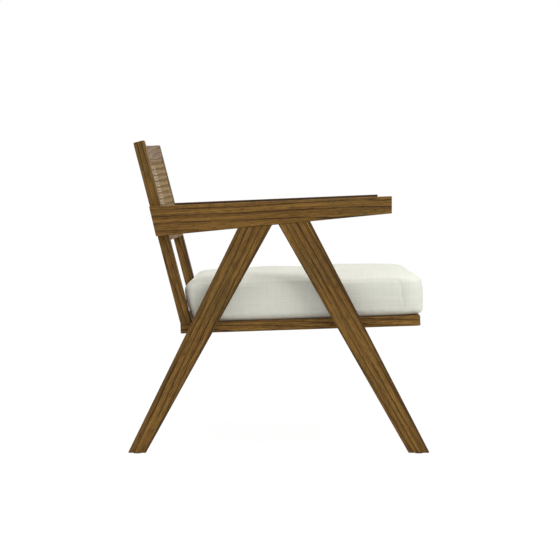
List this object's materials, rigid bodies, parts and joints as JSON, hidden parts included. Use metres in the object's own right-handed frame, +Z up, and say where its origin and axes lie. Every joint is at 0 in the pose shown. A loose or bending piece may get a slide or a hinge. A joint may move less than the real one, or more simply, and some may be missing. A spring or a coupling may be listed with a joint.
{
  "type": "lounge armchair",
  "caption": "Lounge armchair with inverted-V tapered legs, flat sloping arms, a bowed cane back and a loose box cushion",
  "frame": {"origin": "on the floor, below the middle of the space that the chair takes up", "axes": "+X forward, the way the sitter faces; +Y to the sitter's left; +Z up. The chair is symmetric about the XZ plane"},
  "size_m": [0.7354, 0.62, 0.76],
  "materials": {
    "stained_wood": "stained open-grain hardwood, satin lacquer",
    "slat_wood": "planed hardwood, unstained",
    "joinery_wood": "turned and planed beech",
    "cane": "woven cane webbing",
    "reed_spline": "reed spline, glued",
    "glide_nylon": "moulded nylon",
    "bolt_steel": "zinc-plated steel",
    "insert_brass": "brass",
    "linen": "off-white linen weave",
    "foam": "cut upholstery foam",
    "zip_tape": "woven zip tape with moulded teeth",
    "zip_metal": "die-cast, nickel-plated"
  },
  "bodies": {
    "frame": {"right_arm": "stained_wood", "left_arm": "stained_wood", "right_rear_leg": "stained_wood", "left_rear_leg": "stained_wood", "right_front_leg": "stained_wood", "left_front_leg": "stained_wood", "right_back_stile": "stained_wood", "left_back_stile": "stained_wood", "back_top_rail": "stained_wood", "back_lower_rail": "stained_wood", "seat_side_rail_right": "stained_wood", "seat_side_rail_left": "stained_wood", "seat_rear_rail": "stained_wood", "seat_front_rail": "stained_wood", "seat_slat_1": "slat_wood", "seat_slat_2": "slat_wood", "seat_slat_3": "slat_wood", "seat_slat_4": "slat_wood", "seat_slat_5": "slat_wood", "seat_slat_6": "slat_wood", "seat_slat_7": "slat_wood", "right_arm_dowels": "joinery_wood", "left_arm_dowels": "joinery_wood", "stile_foot_dowels": "joinery_wood", "back_rail_tenons": "joinery_wood", "seat_rail_tenons": "joinery_wood", "cane_webbing": "cane", "cane_spline_bottom": "reed_spline", "cane_spline_top": "reed_spline", "cane_spline_right": "reed_spline", "cane_spline_left": "reed_spline", "right_rear_glide": "glide_nylon", "right_front_glide": "glide_nylon", "left_rear_glide": "glide_nylon", "left_front_glide": "glide_nylon", "leg_bolts": "bolt_steel", "arm_bolts": "bolt_steel", "slat_screws": "bolt_steel", "leg_inserts": "insert_brass", "arm_inserts": "insert_brass"},
    "cushion": {"cushion_cover": "linen", "foam_core": "foam", "cushion_zip": "zip_tape"},
    "zip_slider": {"zip_slider": "zip_metal"}
  },
  "joints": [
    {"name": "cushion_lift", "type": "slide", "parent": "frame", "child": "cushion", "axis": [0, 0, 1], "range_m": [0, 0.46]},
    {"name": "zip_run", "type": "slide", "parent": "cushion", "child": "zip_slider", "axis": [0, 1, 0], "range_m": [0, 0.404]}
  ]
}
